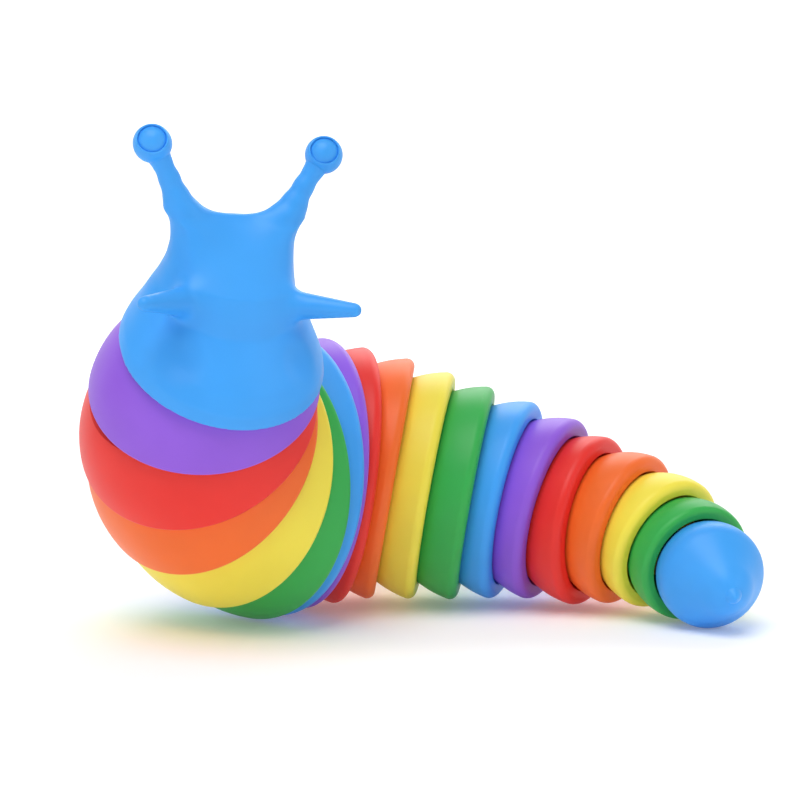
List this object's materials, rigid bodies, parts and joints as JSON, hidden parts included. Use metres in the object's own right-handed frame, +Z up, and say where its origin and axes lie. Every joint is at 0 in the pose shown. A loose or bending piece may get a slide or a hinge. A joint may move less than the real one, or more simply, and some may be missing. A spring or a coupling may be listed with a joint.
{
  "type": "articulated slug fidget toy",
  "caption": "Bending slug toy: a horned head, nested rainbow rings that taper to a blunt tail cap, joined inside by cross links, curled with the head raised.",
  "frame": {"origin": "centre of the bounding box's footprint, on the floor under the toy in its rest pose", "axes": "+X to the right as the head faces the viewer, +Y away from the viewer, +Z up"},
  "size_m": [0.0908, 0.068, 0.064],
  "materials": {
    "blue": "smooth satin moulded plastic",
    "purple": "smooth satin moulded plastic",
    "red": "smooth satin moulded plastic",
    "orange": "smooth satin moulded plastic",
    "yellow": "smooth satin moulded plastic",
    "green": "smooth satin moulded plastic",
    "link": "plain moulded plastic, hidden inside"
  },
  "bodies": {
    "head": {"head": "blue"},
    "ring_02": {"ring_02": "purple"},
    "ring_03": {"ring_03": "red"},
    "ring_04": {"ring_04": "orange"},
    "ring_05": {"ring_05": "yellow"},
    "ring_06": {"ring_06": "green"},
    "ring_07": {"ring_07": "blue"},
    "ring_08": {"ring_08": "purple"},
    "ring_09": {"ring_09": "red"},
    "ring_10": {"ring_10": "orange"},
    "ring_11": {"ring_11": "yellow"},
    "ring_12": {"ring_12": "green"},
    "ring_13": {"ring_13": "blue"},
    "ring_14": {"ring_14": "purple"},
    "ring_15": {"ring_15": "red"},
    "ring_16": {"ring_16": "orange"},
    "ring_17": {"ring_17": "yellow"},
    "ring_18": {"ring_18": "green"},
    "tail": {"tail": "blue"},
    "link_01": {"link_01": "link"},
    "link_02": {"link_02": "link"},
    "link_03": {"link_03": "link"},
    "link_04": {"link_04": "link"},
    "link_05": {"link_05": "link"},
    "link_06": {"link_06": "link"},
    "link_07": {"link_07": "link"},
    "link_08": {"link_08": "link"},
    "link_09": {"link_09": "link"},
    "link_10": {"link_10": "link"},
    "link_11": {"link_11": "link"},
    "link_12": {"link_12": "link"},
    "link_13": {"link_13": "link"},
    "link_14": {"link_14": "link"},
    "link_15": {"link_15": "link"},
    "link_16": {"link_16": "link"},
    "link_17": {"link_17": "link"},
    "link_18": {"link_18": "link"}
  },
  "joints": [
    {"name": "joint_01_yaw", "type": "hinge", "parent": "link_01", "child": "head", "pos_m": [-0.02859, -0.01343, 0.03119], "axis": [-0.2562, 0.6732, 0.6937], "range_deg": [-22.7, 1.5]},
    {"name": "joint_01_pitch", "type": "hinge", "parent": "ring_02", "child": "link_01", "pos_m": [-0.02859, -0.01343, 0.03119], "axis": [-0.9653, -0.2153, -0.1475], "range_deg": [-7.8, 8.2]},
    {"name": "joint_02_pitch", "type": "hinge", "parent": "link_02", "child": "ring_02", "pos_m": [-0.0289, -0.00901, 0.02675], "axis": [0.9653, 0.2153, 0.1475], "range_deg": [-3.4, 12.6]},
    {"name": "joint_02_yaw", "type": "hinge", "parent": "ring_03", "child": "link_02", "pos_m": [-0.0289, -0.00901, 0.02675], "axis": [0.2515, -0.6159, -0.7466], "range_deg": [-1.5, 25.6]},
    {"name": "joint_03_yaw", "type": "hinge", "parent": "link_03", "child": "ring_03", "pos_m": [-0.0275, -0.00411, 0.02319], "axis": [-0.2515, 0.6159, 0.7466], "range_deg": [-24.7, 1.5]},
    {"name": "joint_03_pitch", "type": "hinge", "parent": "ring_04", "child": "link_03", "pos_m": [-0.0275, -0.00411, 0.02319], "axis": [-0.8367, 0.2494, -0.4876], "range_deg": [-11.5, 4.5]},
    {"name": "joint_04_pitch", "type": "hinge", "parent": "link_04", "child": "ring_04", "pos_m": [-0.02462, 0.00067, 0.0207], "axis": [0.8367, -0.2494, 0.4876], "range_deg": [-1.5, 16.7]},
    {"name": "joint_04_yaw", "type": "hinge", "parent": "ring_05", "child": "link_04", "pos_m": [-0.02462, 0.00067, 0.0207], "axis": [0.3483, -0.4447, -0.8252], "range_deg": [-1.5, 20.4]},
    {"name": "joint_05_yaw", "type": "hinge", "parent": "link_05", "child": "ring_05", "pos_m": [-0.02113, 0.00531, 0.01968], "axis": [-0.3483, 0.4447, 0.8252], "range_deg": [-18.8, 1.5]},
    {"name": "joint_05_pitch", "type": "hinge", "parent": "ring_06", "child": "link_05", "pos_m": [-0.02113, 0.00531, 0.01968], "axis": [-0.6025, 0.5682, -0.5605], "range_deg": [-11.6, 4.4]},
    {"name": "joint_06_pitch", "type": "hinge", "parent": "link_06", "child": "ring_06", "pos_m": [-0.01703, 0.00956, 0.01957], "axis": [0.6025, -0.5682, 0.5605], "range_deg": [-16.4, 1.5]},
    {"name": "joint_06_yaw", "type": "hinge", "parent": "ring_07", "child": "link_06", "pos_m": [-0.01703, 0.00956, 0.01957], "axis": [0.2877, -0.5005, -0.8166], "range_deg": [-2.8, 13.2]},
    {"name": "joint_07_yaw", "type": "hinge", "parent": "link_07", "child": "ring_07", "pos_m": [-0.01233, 0.0131, 0.01906], "axis": [-0.2877, 0.5005, 0.8166], "range_deg": [-19.2, 0.4]},
    {"name": "joint_07_pitch", "type": "hinge", "parent": "ring_08", "child": "link_07", "pos_m": [-0.01233, 0.0131, 0.01906], "axis": [-0.3956, 0.7143, -0.5772], "range_deg": [-0.4, 18.6]},
    {"name": "joint_08_pitch", "type": "hinge", "parent": "link_08", "child": "ring_08", "pos_m": [-0.0074, 0.01529, 0.01839], "axis": [0.3956, -0.7143, 0.5772], "range_deg": [-17.5, 0.5]},
    {"name": "joint_08_yaw", "type": "hinge", "parent": "ring_09", "child": "link_08", "pos_m": [-0.0074, 0.01529, 0.01839], "axis": [0.0098, -0.6252, -0.7804], "range_deg": [-0.3, 19.7]},
    {"name": "joint_09_yaw", "type": "hinge", "parent": "link_09", "child": "ring_09", "pos_m": [-0.00211, 0.01632, 0.01764], "axis": [-0.0098, 0.6252, 0.7804], "range_deg": [-16.5, 0.5]},
    {"name": "joint_09_pitch", "type": "hinge", "parent": "ring_10", "child": "link_09", "pos_m": [-0.00211, 0.01632, 0.01764], "axis": [-0.0963, 0.7762, -0.623], "range_deg": [-0.4, 18.4]},
    {"name": "joint_10_pitch", "type": "hinge", "parent": "ring_10", "child": "link_10", "pos_m": [0.00324, 0.01622, 0.01669], "axis": [0.0963, -0.7762, 0.623], "range_deg": [-6.5, 11.5]},
    {"name": "joint_10_yaw", "type": "hinge", "parent": "link_10", "child": "ring_11", "pos_m": [0.00324, 0.01622, 0.01669], "axis": [-0.1885, -0.6288, -0.7543], "range_deg": [-12, 6]},
    {"name": "joint_11_yaw", "type": "hinge", "parent": "ring_11", "child": "link_11", "pos_m": [0.00858, 0.01576, 0.01575], "axis": [0.1885, 0.6288, 0.7543], "range_deg": [-8.7, 10.3]},
    {"name": "joint_11_pitch", "type": "hinge", "parent": "link_11", "child": "ring_12", "pos_m": [0.00858, 0.01576, 0.01575], "axis": [-0.0316, 0.7716, -0.6354], "range_deg": [-10.1, 8.9]},
    {"name": "joint_12_pitch", "type": "hinge", "parent": "ring_12", "child": "link_12", "pos_m": [0.01391, 0.0152, 0.0148], "axis": [0.0316, -0.7716, 0.6354], "range_deg": [-2.8, 17.2]},
    {"name": "joint_12_yaw", "type": "hinge", "parent": "link_12", "child": "ring_13", "pos_m": [0.01391, 0.0152, 0.0148], "axis": [-0.3214, -0.6097, -0.7245], "range_deg": [-16.7, 3.3]},
    {"name": "joint_13_yaw", "type": "hinge", "parent": "ring_13", "child": "link_13", "pos_m": [0.01904, 0.01373, 0.01376], "axis": [0.3214, 0.6097, 0.7245], "range_deg": [-6.1, 14.9]},
    {"name": "joint_13_pitch", "type": "hinge", "parent": "link_13", "child": "ring_14", "pos_m": [0.01904, 0.01373, 0.01376], "axis": [0.151, 0.7223, -0.6749], "range_deg": [-17.3, 3.7]},
    {"name": "joint_14_pitch", "type": "hinge", "parent": "ring_14", "child": "link_14", "pos_m": [0.02388, 0.01157, 0.01254], "axis": [-0.151, -0.7223, 0.6749], "range_deg": [-10.4, 11.6]},
    {"name": "joint_14_yaw", "type": "hinge", "parent": "link_14", "child": "ring_15", "pos_m": [0.02388, 0.01157, 0.01254], "axis": [-0.4386, -0.5628, -0.7006], "range_deg": [-18.7, 3.3]},
    {"name": "joint_15_yaw", "type": "hinge", "parent": "ring_15", "child": "link_15", "pos_m": [0.02855, 0.00888, 0.01179], "axis": [0.4386, 0.5628, 0.7006], "range_deg": [-12.2, 11.8]},
    {"name": "joint_15_pitch", "type": "hinge", "parent": "link_15", "child": "ring_16", "pos_m": [0.02855, 0.00888, 0.01179], "axis": [0.2663, 0.6632, -0.6995], "range_deg": [-20.4, 3.6]},
    {"name": "joint_16_pitch", "type": "hinge", "parent": "ring_16", "child": "link_16", "pos_m": [0.03282, 0.00577, 0.01047], "axis": [-0.2663, -0.6632, 0.6995], "range_deg": [-0.4, 30]},
    {"name": "joint_16_yaw", "type": "hinge", "parent": "link_16", "child": "ring_17", "pos_m": [0.03282, 0.00577, 0.01047], "axis": [-0.7417, -0.3225, -0.5881], "range_deg": [-16.4, 3.6]},
    {"name": "joint_17_yaw", "type": "hinge", "parent": "ring_17", "child": "link_17", "pos_m": [0.03599, 0.00172, 0.0087], "axis": [0.7417, 0.3225, 0.5881], "range_deg": [-1.5, 24]},
    {"name": "joint_17_pitch", "type": "hinge", "parent": "link_17", "child": "ring_18", "pos_m": [0.03599, 0.00172, 0.0087], "axis": [0.4401, 0.4276, -0.7896], "range_deg": [-20.4, 3.6]},
    {"name": "joint_18_pitch", "type": "hinge", "parent": "ring_18", "child": "link_18", "pos_m": [0.03812, -0.00308, 0.00729], "axis": [-0.4401, -0.4276, 0.7896], "range_deg": [-5, 19]},
    {"name": "joint_18_yaw", "type": "hinge", "parent": "link_18", "child": "tail", "pos_m": [0.03812, -0.00308, 0.00729], "axis": [-0.8495, -0.0867, -0.5205], "range_deg": [-22.8, 1.5]}
  ]
}
